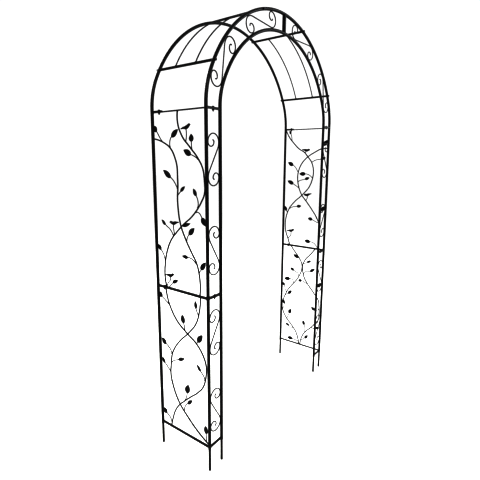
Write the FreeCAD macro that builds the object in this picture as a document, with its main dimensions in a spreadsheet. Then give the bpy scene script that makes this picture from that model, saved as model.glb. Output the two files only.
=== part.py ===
import FreeCAD, Part
import math
import os
import Sketcher
from FreeCAD import Placement, Rotation, Vector

# A free-standing garden arch of painted steel: two piers of three posts each, joined by a round
# roof. X runs across the path, Y through the arch (the two-ring face is at -Y), Z is up.
# The origin is on the ground, in the middle of the six feet.

doc = FreeCAD.newDocument("TrellisArch")
sheet = doc.addObject("Spreadsheet::Sheet", "sizes")

# name, value in mm or degrees, what it is
sizeRows = [
    ("tubeDiameter", 16, "posts and rings, outside"),
    ("tubeWall", 1.2, "wall of posts and rings"),
    ("halfSpan", 655, "middle of the arch to an outer post"),
    ("ringGap", 97, "outer post to inner post"),
    ("pierDepth", 353, "front post to back post"),
    ("bottomRailHeight", 137, "middle of the lowest rails"),
    ("midHeight", 948, "where the lower and upper sections meet"),
    ("springHeight", 1835, "where the arch plugs into the posts"),
    ("ringStraight", 12, "straight stretch at the foot of each ring"),
    ("shoulderRadius", 355, "outer ring, first bend"),
    ("shoulderAngle", 25.5, "turn of the first bend"),
    ("railWidth", 12, "flat rails, across"),
    ("railThickness", 5, "flat rails, upright"),
    ("flangeDepth", 18, "flat bars at the top joint, front to back"),
    ("vineDiameter", 7, "vine stems"),
    ("stalkDiameter", 4.5, "leaf stalks and bird legs"),
    ("scrollDiameter", 5.5, "scroll rods"),
    ("wireDiameter", 6, "roof wires"),
    ("barDiameter", 12, "roof cross bars"),
    ("barOverhang", 5, "cross bar past the ring tube"),
    ("barHoleClearance", 0.1, "cross bar in its hole, all round"),
    ("lowerBarAngle", 29.4, "lower cross bar above level, about the crown centre"),
    ("upperBarAngle", 71.7, "upper cross bar above level"),
    ("wireSpread", 65, "roof wire to the middle of the depth"),
    ("leafThickness", 2, "leaf and bird plates"),
    ("footExposed", 125, "ground stake below the post"),
    ("footInserted", 60, "ground stake inside the post"),
    ("footChamfer", 3, "edge of the stake's tip"),
    ("footStep", 0.3, "stake below the post, smaller all round than inside it"),
    ("spigotHalf", 40, "half the length of a post spigot"),
    ("ringSpigotUp", 10, "ring spigot inside the ring"),
    ("crownSpigotHalf", 25, "half the length of the back ring's spigot"),
    ("boltDiameter", 6, "joint bolts"),
    ("boltLength", 20, "under the head"),
    ("boltClearance", 0.25, "bolt in its hole, all round"),
    ("headFlats", 10, "bolt head and nut across flats"),
    ("headHeight", 4, "bolt head"),
    ("nutHeight", 5, "nut"),
    ("sideBoltInset", 50, "side bolt from the back post"),
    ("lugLength", 68, "lug on the arch's back foot, from the post"),
    ("scrollEye", 81, "scroll middle to the centre of its eye"),
    ("scrollRise", 215, "scroll middle from the middle of its section"),
    ("scrollNeckRadius", 62, "bend between a scroll's eye and its diagonal"),
]
for row, (name, value, note) in enumerate(sizeRows, start=1):
    sheet.set("A%d" % row, name)
    sheet.set("B%d" % row, str(value))
    sheet.set("C%d" % row, note)
    sheet.setAlias("B%d" % row, name)
doc.recompute()


def size(name):
    return float(sheet.get(name))


tubeRadius = size("tubeDiameter") / 2
depth = size("pierDepth")
frontY = -depth / 2
backY = depth / 2
outerX = size("halfSpan")
innerX = outerX - size("ringGap")
midZ = size("midHeight")
springZ = size("springHeight")
footZ = size("footExposed")
railHigh = size("railThickness")
bottomZ = size("bottomRailHeight") - railHigh / 2

# The outer ring is a straight foot, a shoulder bend and one long crown bend about crownCentre.
bendStartZ = springZ + size("ringStraight")
shoulderTurn = math.radians(size("shoulderAngle"))
shoulderInset = outerX - size("shoulderRadius")
crownRadius = size("shoulderRadius") + shoulderInset / math.cos(shoulderTurn)
crownCentre = Vector(0, 0, bendStartZ - shoulderInset * math.tan(shoulderTurn))

handed = []         # every sub-part that is written out


def keep(item, label):
    item.Label = label
    handed.append(item)
    return item


# Straight tubes and rods

def addTube(label, outside, wall, length, base, chamfer=None):
    """Upright tube or, with no wall, a rod: an outline padded to a length."""
    body = doc.addObject("PartDesign::Body", label)
    plane = [f for f in body.Origin.OriginFeatures if f.Role == "XY_Plane"][0]
    sketch = body.newObject("Sketcher::SketchObject", label + "_section")
    sketch.AttachmentSupport = (plane, [""])
    sketch.MapMode = "FlatFace"
    radii = ["(%s) / 2" % outside]
    if wall:
        radii.append("(%s) / 2 - %s" % (outside, wall))
    for index, radius in enumerate(radii):
        sketch.addGeometry(Part.Circle(Vector(), Vector(0, 0, 1), 10 - 2 * index), False)
        sketch.addConstraint(Sketcher.Constraint("Coincident", index, 3, -1, 1))
        number = sketch.addConstraint(Sketcher.Constraint("Radius", index, 10 - 2 * index))
        sketch.setExpression("Constraints[%d]" % number, radius)
    pad = body.newObject("PartDesign::Pad", label + "_length")
    pad.Profile = sketch
    pad.setExpression("Length", length)
    if chamfer:
        doc.recompute()
        lowest = [n for n, e in enumerate(pad.Shape.Edges, start=1) if e.BoundBox.ZMax < 1e-6]
        cut = body.newObject("PartDesign::Chamfer", label + "_tip")
        cut.Base = (pad, ["Edge%d" % lowest[0]])
        cut.setExpression("Size", chamfer)
    body.Placement = Placement(base, Rotation())
    return body


def addRod(label, diameter, start, end):
    """Round bar between two points."""
    rod = doc.addObject("Part::Cylinder", label)
    rod.setExpression("Radius", "(%s) / 2" % diameter)
    rod.Height = (end - start).Length
    rod.Placement = Placement(start, Rotation(Vector(0, 0, 1), end - start))
    return rod


def cutFrom(label, base, tools):
    """Base with each tool taken away in turn."""
    for number, tool in enumerate(tools):
        cut = doc.addObject("Part::Cut", "%s_less_%d" % (label, number))
        cut.Base = base
        cut.Tool = tool
        base = cut
    return base


def join(label, items):
    """Separate solids held as one object."""
    compound = doc.addObject("Part::Compound", label)
    compound.Links = items
    return compound


# Bent rods: every path is a chain of tangent arcs in one upright plane.

def arcEdge(start, heading, end):
    """Arc from start, leaving along heading, to end; a line where it hardly turns."""
    chord = end - start
    turn = heading.getAngle(chord)
    if turn < 0.002:
        return Part.LineSegment(start, end).toShape()
    unit = Vector(chord).normalize()
    bulge = (heading - unit * heading.dot(unit)).normalize()
    middle = start + chord / 2 + bulge * (chord.Length / 2 * math.tan(turn / 2))
    return Part.Arc(start, middle, end).toShape()


def smoothPath(points):
    """Edges of a smooth curve through the points, two tangent arcs to each gap."""
    gaps = [after - before for before, after in zip(points, points[1:])]
    headings = [(a / a.Length ** 2 + b / b.Length ** 2).normalize() for a, b in zip(gaps, gaps[1:])]
    if not headings:
        return [Part.LineSegment(points[0], points[1]).toShape()]
    for place, gap in ((0, gaps[0]), (len(headings) + 1, gaps[-1])):
        unit = Vector(gap).normalize()
        beside = headings[0] if place == 0 else headings[-1]
        headings.insert(place, unit * (2 * beside.dot(unit)) - beside)
    edges = []
    for start, gap, leave, arrive in zip(points, gaps, headings, headings[1:]):
        spread = 2 * (1 - leave.dot(arrive))
        reach = gap.dot(leave + arrive)
        if spread < 1e-6:
            step = gap.Length ** 2 / (2 * reach)
        else:
            step = (math.sqrt(reach ** 2 + spread * gap.Length ** 2) - reach) / spread
        joint = start + (gap + (leave - arrive) * step) / 2
        across = (gap - (leave + arrive) * step).normalize()
        edges.append(arcEdge(start, leave, joint))
        edges.append(arcEdge(joint, across, start + gap))
    return edges


def addSweep(label, edges, diameter):
    """Round bar along a chain of edges."""
    route = doc.addObject("Part::Feature", label + "_path")
    route.Shape = Part.Wire(Part.__sortEdges__(edges))
    first = route.Shape.OrderedEdges[0]
    start = route.Shape.OrderedVertexes[0].Point
    ends = [first.FirstParameter, first.LastParameter]
    nearest = min(ends, key=lambda place: (first.valueAt(place) - start).Length)
    section = doc.addObject("Part::Circle", label + "_section")
    section.setExpression("Radius", "(%s) / 2" % diameter)
    section.Placement = Placement(start, Rotation(Vector(0, 0, 1), first.tangentAt(nearest)))
    sweep = doc.addObject("Part::Sweep", label + "_sweep")
    sweep.Sections = [section]
    sweep.Spine = (route, ["Edge%d" % n for n in range(1, len(route.Shape.Edges) + 1)])
    sweep.Solid = True
    return sweep


def addPlate(label, edges):
    """Flat plate with an outline in an upright YZ plane, half its thickness each side."""
    outline = doc.addObject("Part::Feature", label + "_outline")
    outline.Shape = Part.Wire(Part.__sortEdges__(edges))
    plate = doc.addObject("Part::Extrusion", label)
    plate.Base = outline
    plate.Dir = Vector(1, 0, 0)
    plate.setExpression("LengthFwd", "sizes.leafThickness / 2")
    plate.setExpression("LengthRev", "sizes.leafThickness / 2")
    plate.Solid = True
    return plate


# Posts, stakes and spigots

bore = "(sizes.tubeDiameter - 2 * sizes.tubeWall)"
sides = {"left": -1, "right": 1}
sections = {"lower": (footZ, midZ), "upper": (midZ, springZ)}


def postPlaces(side):
    """Where the three posts of a pier stand."""
    x = sides[side]
    return {"back": Vector(x * outerX, backY, 0), "outer": Vector(x * outerX, frontY, 0),
            "inner": Vector(x * innerX, frontY, 0)}


def makePosts():
    lengths = {"lower": "sizes.midHeight - sizes.footExposed",
               "upper": "sizes.springHeight - sizes.midHeight"}
    stakes, spigots, plugs = [], [], []
    for side in sides:
        for spot, place in postPlaces(side).items():
            for level, (low, high) in sections.items():
                name = "%s_%s_%s_post" % (side, level, spot)
                keep(addTube(name, "sizes.tubeDiameter", "sizes.tubeWall", lengths[level],
                             place + Vector(0, 0, low)), name)
            tag = "%s_%s" % (side, spot)
            stake = doc.addObject("Part::Fuse", tag + "_stake")
            stake.Base = addTube(tag + "_stake_shank", bore + " - 2 * sizes.footStep", None,
                                 "sizes.footExposed", place, "sizes.footChamfer")
            stake.Tool = addTube(tag + "_stake_plug", bore, None, "sizes.footInserted",
                                 place + Vector(0, 0, footZ))
            stakes.append(stake)
            spigots.append(addTube(tag + "_spigot", bore, "sizes.tubeWall", "2 * sizes.spigotHalf",
                                   place + Vector(0, 0, midZ - size("spigotHalf"))))
            plugs.append(addTube(tag + "_plug", bore, "sizes.tubeWall",
                                 "sizes.spigotHalf + sizes.ringSpigotUp",
                                 place + Vector(0, 0, springZ - size("spigotHalf"))))
    keep(join("ground_stakes", stakes), "ground_stakes")
    keep(join("post_spigots", spigots), "post_spigots")
    keep(join("ring_spigots", plugs), "ring_spigots")


# Flat rails, coped to the posts they meet

def postTools(side, label, spots):
    """Full-height rounds that cope a bar to its posts."""
    places = postPlaces(side)
    top = Vector(0, 0, springZ + size("ringStraight"))
    return [addRod("%s_%s_cope" % (label, spot), "sizes.tubeDiameter", places[spot], places[spot] + top)
            for spot in spots]


def addBar(label, side, across, low):
    """Flat bar lying between two post axes, from its lower face up."""
    x = sides[side]
    bar = doc.addObject("Part::Box", label + "_bar")
    bar.setExpression("Height", "sizes.railThickness")
    half = size("railWidth") / 2
    if across:
        bar.setExpression("Length", "sizes.ringGap")
        bar.setExpression("Width", "sizes.railWidth")
        bar.Placement.Base = Vector(min(x * outerX, x * innerX), frontY - half, low)
    else:
        bar.setExpression("Length", "sizes.railWidth")
        bar.setExpression("Width", "sizes.pierDepth")
        bar.Placement.Base = Vector(x * outerX - half, frontY, low)
    return bar


def boltPlaces(side):
    """Where the upright bolts stand: one in the side rail, one in the front rail."""
    x = sides[side]
    return {"side": Vector(x * outerX, backY - size("sideBoltInset"), 0),
            "front": Vector(x * (outerX - size("ringGap") / 2), frontY, 0)}


def boltTool(label, side, spot):
    place = boltPlaces(side)[spot]
    return addRod(label + "_hole", "sizes.boltDiameter + 2 * sizes.boltClearance",
                  place, place + Vector(0, 0, springZ + 2 * railHigh))


railLevels = {"lower": (bottomZ, midZ - railHigh), "upper": (midZ, springZ - railHigh)}


def makeRails():
    for side in sides:
        for level, heights in railLevels.items():
            rows = {"side": [], "front": []}
            for number, low in enumerate(heights):
                tag = "%s_%s_%d" % (side, level, number)
                bolted = low > bottomZ
                sideBar = addBar(tag + "_side", side, False, low)
                frontBar = addBar(tag + "_front", side, True, low)
                sideTools = postTools(side, tag + "_side", ["back", "outer"])
                frontTools = postTools(side, tag + "_front", ["outer", "inner"]) + [sideBar]
                if bolted:
                    sideTools.append(boltTool(tag + "_side", side, "side"))
                    frontTools.append(boltTool(tag + "_front", side, "front"))
                rows["side"].append(cutFrom(tag + "_side", sideBar, sideTools))
                rows["front"].append(cutFrom(tag + "_front", frontBar, frontTools))
            for spot, bars in rows.items():
                name = "%s_%s_%s_rails" % (side, level, spot)
                keep(join(name, bars), name)


# Scrolls: a straight diagonal, two neck bends and a spiral of half rounds at each end

eyeRadius = (size("ringGap") - size("tubeDiameter") - size("scrollDiameter")) / 2
neckRadius = size("scrollNeckRadius")
curlRadius = eyeRadius * 0.55
tipRadius = eyeRadius * 0.22


def eyeEdges(eye, axis, neck, leaveFrom, leaveAlong):
    """One end: neck bend, half round, smaller half round, tip."""
    near = eye + neck * eyeRadius
    far = eye - neck * eyeRadius
    curl = far + neck * curlRadius
    inner = curl + neck * curlRadius
    return [arcEdge(leaveFrom, leaveAlong, near),
            Part.Arc(near, eye + axis * eyeRadius, far).toShape(),
            Part.Arc(far, curl - axis * curlRadius, inner).toShape(),
            arcEdge(inner, axis, inner - neck * tipRadius + axis * tipRadius)]


def scrollEdges(eyes, axes, necks):
    """Whole scroll between two eyes; necks say on which side each end leaves its eye."""
    centres = [eye + neck * (eyeRadius - neckRadius) for eye, neck in zip(eyes, necks)]
    between = centres[1] - centres[0]
    lean = math.degrees(math.acos(2 * neckRadius / between.Length))
    options = [Rotation(Vector(0, 1, 0), turn).multVec(between).normalize() for turn in (lean, -lean)]
    normal = max(options, key=lambda option: option.dot(necks[0]))
    starts = [centres[0] + normal * neckRadius, centres[1] - normal * neckRadius]
    slope = (starts[1] - starts[0]).normalize()
    edges = [Part.LineSegment(starts[0], starts[1]).toShape()]
    edges += eyeEdges(eyes[0], axes[0], necks[0], starts[0], slope * -1)
    edges += eyeEdges(eyes[1], axes[1], necks[1], starts[1], slope)
    return edges


def makePierScrolls():
    up = Vector(0, 0, 1)
    middles = {"lower": (size("bottomRailHeight") + midZ) / 2, "upper": (midZ + springZ) / 2}
    for side, x in sides.items():
        inward = Vector(-x, 0, 0)
        for level, middle in middles.items():
            pair = []
            for rise, neck in ((size("scrollRise"), inward), (-size("scrollRise"), inward * -1)):
                centre = Vector(x * (outerX - size("ringGap") / 2), frontY, middle + rise)
                eyes = [centre - up * size("scrollEye"), centre + up * size("scrollEye")]
                tag = "%s_%s_scroll_%d" % (side, level, len(pair))
                pair.append(addSweep(tag, scrollEdges(eyes, [up * -1, up], [neck * -1, neck]),
                                     "sizes.scrollDiameter"))
            name = "%s_%s_scrolls" % (side, level)
            keep(join(name, pair), name)


# Arch: rings, feet, cross bars, roof wires, scrolls and the bolted joint at the crown

def crownPoint(side, degrees, inward, y):
    """Point on the crown bend, or inward of it, at an angle above level."""
    angle = math.radians(degrees)
    reach = crownRadius - inward
    return crownCentre + Vector(sides[side] * reach * math.cos(angle), y, reach * math.sin(angle))


def ringEdges(side, inward, y):
    """Straight foot, shoulder bend and crown bend of half a ring."""
    x = sides[side]
    foot = Vector(x * (outerX - inward), y, springZ)
    bend = Vector(foot.x, y, bendStartZ)
    shoulder = crownPoint(side, size("shoulderAngle"), inward, y)
    top = crownPoint(side, 90, inward, y)
    along = Vector(-x * math.sin(shoulderTurn), 0, math.cos(shoulderTurn))
    return [Part.LineSegment(foot, bend).toShape(), arcEdge(bend, Vector(0, 0, 1), shoulder),
            arcEdge(shoulder, along, top)]


def crossBars(side):
    """The two cross bars of one half, and the wider rods that drill their holes."""
    reach = Vector(0, depth / 2 + tubeRadius + size("barOverhang"), 0)
    bars, holes = [], []
    for degrees in (size("lowerBarAngle"), size("upperBarAngle")):
        middle = crownPoint(side, degrees, 0, 0)
        tag = "%s_bar_%d" % (side, len(bars))
        bars.append(addRod(tag, "sizes.barDiameter", middle - reach, middle + reach))
        holes.append(addRod(tag + "_hole", "sizes.barDiameter + 2 * sizes.barHoleClearance",
                            middle - reach, middle + reach))
    return bars, holes


def makeRings():
    for side in sides:
        bars, holes = crossBars(side)
        keep(join(side + "_cross_bars", bars), side + "_cross_bars")
        for spot, inward, y in (("outer", 0, frontY), ("inner", size("ringGap"), frontY),
                                ("back", 0, backY)):
            name = "%s_%s_ring" % (side, spot)
            edges = ringEdges(side, inward, y)
            skin = addSweep(name, edges, "sizes.tubeDiameter")
            hollow = addSweep(name + "_bore", edges, bore)
            tools = [hollow] + (holes if inward == 0 else [])
            keep(cutFrom(name, skin, tools), name)
        # the wires butt against the bars, halfway up them
        butt = math.degrees(size("barDiameter") / 2 / crownRadius)
        span = (size("lowerBarAngle") + butt, size("upperBarAngle") - butt)
        wires = []
        for y in (-size("wireSpread"), size("wireSpread")):
            first, middle, last = [crownPoint(side, angle, 0, y)
                                   for angle in (span[0], sum(span) / 2, span[1])]
            edges = [Part.Arc(first, middle, last).toShape()]
            wires.append(addSweep("%s_wire_%d" % (side, len(wires)), edges, "sizes.wireDiameter"))
        keep(join(side + "_roof_wires", wires), side + "_roof_wires")


def makeArchScrolls():
    # eye angles of each scroll above level, and whether its lower end leaves on the outer side
    pairs = (((24.5, 41.3), False), ((60, 78.4), True))
    for side, x in sides.items():
        scrolls = []
        for angles, outward in pairs:
            eyes, axes, necks = [], [], []
            for degrees, up in zip(angles, (-1, 1)):
                eye = crownPoint(side, degrees, size("ringGap") / 2, frontY)
                angle = math.radians(degrees)
                radial = Vector(x * math.cos(angle), 0, math.sin(angle))
                eyes.append(eye)
                axes.append(Vector(-x * math.sin(angle), 0, math.cos(angle)) * up)
                necks.append(radial * (-up if outward else up))
            scrolls.append(addSweep("%s_arch_scroll_%d" % (side, len(scrolls)),
                                    scrollEdges(eyes, axes, necks), "sizes.scrollDiameter"))
        keep(join(side + "_arch_scrolls", scrolls), side + "_arch_scrolls")


def makeArchFeet():
    """Flat bars at the foot of each arch half that lie on the top rails of the piers."""
    for side, x in sides.items():
        tag = side + "_foot"
        front = addBar(tag + "_front", side, True, springZ)
        frontTools = postTools(side, tag + "_front", ["outer", "inner"])
        frontTools.append(boltTool(tag + "_front", side, "front"))
        lug = doc.addObject("Part::Box", tag + "_lug")
        lug.setExpression("Length", "sizes.railWidth")
        lug.setExpression("Width", "sizes.lugLength")
        lug.setExpression("Height", "sizes.railThickness")
        lug.Placement.Base = Vector(x * outerX - size("railWidth") / 2, backY - size("lugLength"), springZ)
        lugTools = postTools(side, tag + "_lug", ["back"]) + [boltTool(tag + "_lug", side, "side")]
        bars = [cutFrom(tag + "_front", front, frontTools), cutFrom(tag + "_lug", lug, lugTools)]
        keep(join(side + "_arch_feet", bars), side + "_arch_feet")


crownZ = crownCentre.z + crownRadius
flangeLow = crownZ - size("ringGap") + tubeRadius
flangeHigh = crownZ - tubeRadius
crownBoltHeights = [flangeLow + (flangeHigh - flangeLow) * share for share in (0.25, 0.75)]


def makeCrownJoint():
    along = Vector(railHigh * 2, 0, 0)
    for side, x in sides.items():
        flange = doc.addObject("Part::Box", side + "_flange")
        flange.setExpression("Length", "sizes.railThickness")
        flange.setExpression("Width", "sizes.flangeDepth")
        flange.setExpression("Height", "sizes.ringGap")
        flange.Placement.Base = Vector(min(0, x * railHigh), frontY - size("flangeDepth") / 2,
                                       crownZ - size("ringGap"))
        rings = [addSweep("%s_flange_cope_%d" % (side, n), ringEdges(side, inward, frontY),
                          "sizes.tubeDiameter") for n, inward in enumerate((0, size("ringGap")))]
        holes = []
        for height in crownBoltHeights:
            middle = Vector(0, frontY, height)
            holes.append(addRod("%s_flange_hole_%d" % (side, len(holes)),
                                "sizes.boltDiameter + 2 * sizes.boltClearance",
                                middle - along, middle + along))
        keep(cutFrom(side + "_flange", flange, rings + holes), side + "_crown_flange")
    turn = math.degrees(size("crownSpigotHalf") / crownRadius)
    ends = [crownPoint(side, 90 - turn, 0, backY) for side in sides]
    edges = [Part.Arc(ends[0], crownPoint("left", 90, 0, backY), ends[1]).toShape()]
    keep(addSweep("crown_spigot", edges, bore), "crown_spigot")


# Bolts and nuts, all alike

def addHex(label, heightCell, start, direction):
    prism = doc.addObject("Part::Prism", label)
    prism.Polygon = 6
    prism.setExpression("Circumradius", "sizes.headFlats / sqrt(3)")
    prism.setExpression("Height", heightCell)
    prism.Placement = Placement(start, Rotation(Vector(0, 0, 1), direction))
    return prism


def makeFasteners():
    down = Vector(0, 0, -1)
    places = []
    for side in sides:
        for spot in boltPlaces(side).values():
            places.append((spot + Vector(0, 0, midZ + railHigh), down))
            places.append((spot + Vector(0, 0, springZ + railHigh), down))
    for height in crownBoltHeights:
        places.append((Vector(-railHigh, frontY, height), Vector(1, 0, 0)))
    bolts, nuts = [], []
    for seat, aim in places:
        tag = "bolt_%d" % len(bolts)
        head = addHex(tag + "_head", "sizes.headHeight", seat - aim * size("headHeight"), aim)
        shank = addRod(tag + "_shank", "sizes.boltDiameter", seat, seat + aim * size("boltLength"))
        bolt = doc.addObject("Part::Fuse", tag)
        bolt.Base = head
        bolt.Tool = shank
        bolts.append(bolt)
        block = addHex(tag + "_nut_block", "sizes.nutHeight", seat + aim * 2 * railHigh, aim)
        nuts.append(cutFrom(tag + "_nut", block, [addRod(tag + "_nut_hole", "sizes.boltDiameter",
                                                         seat, seat + aim * size("boltLength"))]))
    keep(join("joint_bolts", bolts), "joint_bolts")
    keep(join("joint_nuts", nuts), "joint_nuts")


# Vines, leaves and birds of the four side panels: (distance forward of the back post, height)
# for piers 353 deep with their levels at 137, 948 and 1835, stretched to the sizes above.
drawnDepth = 353
drawnLevels = {"lower": (137, 948), "upper": (948, 1835)}
panels = {
    ("left", "upper"): {
        "stems": [
            [(2, 1708), (75, 1690), (125, 1661), (160, 1603), (170, 1500), (166, 1398), (185, 1286),
             (218, 1218), (250, 1167), (285, 1114), (303, 1049), (303, 950)],
            [(172, 1833), (173, 1770), (200, 1713), (250, 1662), (296, 1615), (325, 1570), (336, 1511),
             (336, 1455), (309, 1403), (263, 1348), (185, 1286), (146, 1250), (105, 1205), (74, 1144),
             (58, 1083), (52, 1005), (62, 950)],
        ],
        # stalk points, then where the leaf starts and ends, and its width
        "leaves": [
            ([(73, 1691), (50, 1717), (42, 1729)], (32, 1741), (10, 1770), 28),
            ([(125, 1662), (122, 1685), (127, 1704)], (134, 1713), (180, 1747), 27),
            ([(263, 1653), (258, 1679)], (258, 1688), (257, 1724), 27),
            ([(303, 1600), (285, 1617), (265, 1626)], (253, 1629), (206, 1652), 28),
            ([(163, 1465), (155, 1489), (142, 1505)], (122, 1521), (70, 1556), 28),
            ([(170, 1436), (180, 1448)], (187, 1456), (217, 1482), 17),
            ([(284, 1372), (294, 1414), (289, 1429)], (283, 1439), (264, 1473), 20),
            ([(119, 1231), (97, 1263), (78, 1274)], (68, 1281), (39, 1304), 20),
            ([], (187, 1286), (243, 1304), 18),
            ([(225, 1213), (228, 1236)], (237, 1250), (275, 1286), 27),
            ([(264, 1350), (299, 1360), (312, 1346)], (316, 1338), (343, 1299), 28),
            ([(56, 1083), (50, 1116), (40, 1133)], (26, 1143), (10, 1172), 25),
            ([(288, 1105), (269, 1122), (251, 1132)], (228, 1133), (187, 1137), 18),
            ([(303, 1066)], (312, 1086), (343, 1128), 27),
            ([(78, 950), (95, 965)], (108, 982), (147, 1000), 20),
        ],
        # leg points, then the tail and the beak
        "birds": [
            ([(223, 1690), (227, 1735)], (192, 1748), (256, 1758)),
            ([(130, 1236), (127, 1258), (124, 1275)], (165, 1302), (95, 1287)),
            ([(66, 950), (77, 977), (92, 996)], (59, 1014), (120, 1017)),
        ],
    },
    ("left", "lower"): {
        "stems": [
            [(64, 946), (74, 892), (96, 842), (135, 787), (213, 730), (271, 696), (316, 647),
             (338, 596), (336, 530), (316, 468), (275, 419), (225, 376), (175, 330), (140, 296),
             (107, 246), (87, 190), (73, 137)],
            [(300, 946), (293, 872), (273, 807), (213, 730), (160, 680), (118, 630), (89, 576),
             (79, 519), (74, 455), (89, 390), (140, 296), (200, 240), (255, 197), (352, 143)],
        ],
        # stalk points, then where the leaf starts and ends, and its width
        "leaves": [
            ([(87, 853), (69, 869), (50, 880)], (31, 889), (10, 915), 28),
            ([(282, 844), (275, 862)], (268, 876), (266, 917), 19),
            ([(199, 746), (193, 760)], (187, 780), (177, 826), 28),
            ([(275, 692)], (282, 705), (316, 751), 30),
            ([(84, 572), (74, 601), (61, 612)], (43, 620), (10, 648), 28),
            ([(80, 517), (105, 544), (123, 552)], (135, 557), (180, 578), 20),
            ([(329, 494), (322, 529), (310, 542)], (302, 550), (274, 580), 18),
            ([(71, 465), (60, 479), (46, 492)], (28, 503), (10, 533), 24),
            ([(180, 335), (193, 358), (199, 376)], (199, 390), (211, 442), 32),
            ([(172, 267), (172, 286), (180, 303)], (196, 322), (232, 355), 20),
            ([(62, 140), (64, 190), (55, 197)], (38, 203), (10, 229), 28),
            ([(330, 155), (328, 174)], (325, 200), (325, 248), 28),
        ],
    },
    ("right", "upper"): {
        "stems": [
            [(7, 1833), (40, 1774), (75, 1735), (120, 1693), (170, 1663), (195, 1635), (228, 1594),
             (246, 1531), (240, 1473), (220, 1420), (155, 1345), (100, 1297), (55, 1244), (31, 1189),
             (20, 1118), (28, 1049), (48, 999), (65, 950)],
            [(351, 1691), (298, 1689), (246, 1665), (195, 1635), (155, 1598), (126, 1549), (113, 1489),
             (118, 1436), (155, 1345), (190, 1305), (240, 1245), (280, 1190), (308, 1130), (314, 1050),
             (297, 950)],
        ],
        # stalk points, then where the leaf starts and ends, and its width
        "leaves": [
            ([(60, 1753), (57, 1777), (52, 1797)], (48, 1801), (39, 1828), 16),
            ([(113, 1518), (105, 1536), (92, 1555)], (72, 1570), (27, 1592), 28),
            ([(240, 1478), (225, 1492), (207, 1503)], (181, 1508), (130, 1507), 27),
            ([(115, 1442), (131, 1456), (151, 1462)], (175, 1467), (212, 1481), 20),
            ([(120, 1398), (101, 1416)], (78, 1430), (27, 1452), 28),
            ([(300, 1689)], (313, 1712), (343, 1750), 28),
            ([(230, 1593), (265, 1611), (298, 1616)], (310, 1620), (338, 1627), 20),
            ([(33, 1208)], (28, 1218), (10, 1257), 22),
            ([(50, 1235), (90, 1255), (110, 1258)], (118, 1259), (155, 1265), 22),
            ([(298, 1145), (280, 1153), (260, 1162)], (248, 1168), (212, 1175), 24),
            ([(295, 959), (281, 978), (265, 990)], (236, 993), (190, 1000), 26),
            ([(306, 1150), (304, 1190), (309, 1220)], (320, 1240), (342, 1275), 28),
        ],
        # leg points, then the tail and the beak
        "birds": [
            ([(175, 1658)], (152, 1685), (208, 1675)),
            ([(187, 1307), (199, 1327)], (230, 1361), (173, 1342)),
            ([(47, 1005), (74, 1042)], (42, 1061), (99, 1066)),
        ],
    },
    ("right", "lower"): {
        "stems": [
            [(76, 946), (115, 900), (155, 853), (177, 812), (177, 760), (159, 714), (132, 669),
             (89, 617), (55, 569), (31, 515), (13, 465), (13, 415), (30, 369), (61, 326), (105, 283),
             (143, 237), (163, 191), (175, 137)],
            [(283, 946), (244, 896), (204, 850), (182, 803), (184, 751), (200, 700), (228, 658),
             (262, 620), (294, 583), (325, 545), (334, 491), (336, 430), (333, 385), (303, 345),
             (275, 308), (230, 262), (205, 225), (181, 137)],
        ],
        # stalk points, then where the leaf starts and ends, and its width
        "leaves": [
            ([], (149, 858), (100, 877), 24),
            ([(190, 812), (206, 821)], (218, 829), (252, 847), 17),
            ([(194, 722), (204, 750), (226, 756)], (247, 760), (285, 787), 22),
            ([(155, 705), (139, 735), (121, 742)], (110, 748), (77, 765), 22),
            ([(110, 645), (105, 662), (93, 672)], (75, 673), (25, 666), 28),
            ([(225, 660), (210, 662), (194, 670)], (177, 672), (147, 674), 22),
            ([(38, 560), (35, 579), (29, 599)], (27, 608), (10, 632), 22),
            ([(38, 529), (51, 539)], (63, 545), (96, 577), 25),
            ([(16, 402), (26, 425)], (31, 450), (20, 487), 20),
            ([(61, 333), (68, 354)], (76, 380), (94, 420), 28),
            ([(115, 263), (100, 264)], (82, 273), (47, 287), 18),
            ([(163, 159), (145, 165), (125, 169)], (115, 170), (67, 167), 26),
            ([(220, 250), (220, 279), (216, 305)], (213, 312), (200, 347), 22),
            ([(193, 175), (205, 187)], (222, 200), (248, 232), 22),
            ([(338, 478), (320, 462)], (300, 455), (268, 476), 24),
            ([(270, 303), (290, 303)], (313, 310), (343, 322), 22),
            ([(300, 577), (306, 605), (308, 630)], (315, 650), (343, 686), 26),
        ],
    },
}
leafWidest = 0.42       # share of a leaf's length where it is widest
leafJoint = 6           # stalk let into a leaf
legShort = 3            # leg let into a bird, short of the line from tail to beak
birdAbove = [(-0.5, 3.5), (-0.3, 4.5), (0, 7), (0.18, 9), (0.29, 13), (0.4, 10.5), (0.5, 5)]
birdBelow = [(0.5, 5), (0.36, 2), (0.22, -5), (0, -8.5), (-0.25, -3), (-0.48, -2.5)]


def panelPoint(side, level, spot, shift=0):
    """Point of a drawing carried on to its panel."""
    low, high = drawnLevels[level]
    bottom, top = {"lower": (size("bottomRailHeight"), midZ), "upper": (midZ, springZ)}[level]
    height = bottom + (spot[1] - low) * (top - bottom) / (high - low)
    return Vector(sides[side] * outerX + shift, backY - spot[0] * depth / drawnDepth, height)


def leafEdges(base, tip, width):
    """Pointed oval of four arcs."""
    axis = (tip - base).normalize()
    across = axis.cross(Vector(1, 0, 0)) * (width / 2)
    middle = base + (tip - base) * leafWidest
    edges = []
    for edge in (across, across * -1):
        edges.append(arcEdge(middle + edge, axis * -1, base))
        edges.append(arcEdge(middle + edge, axis, tip))
    return edges


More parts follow.
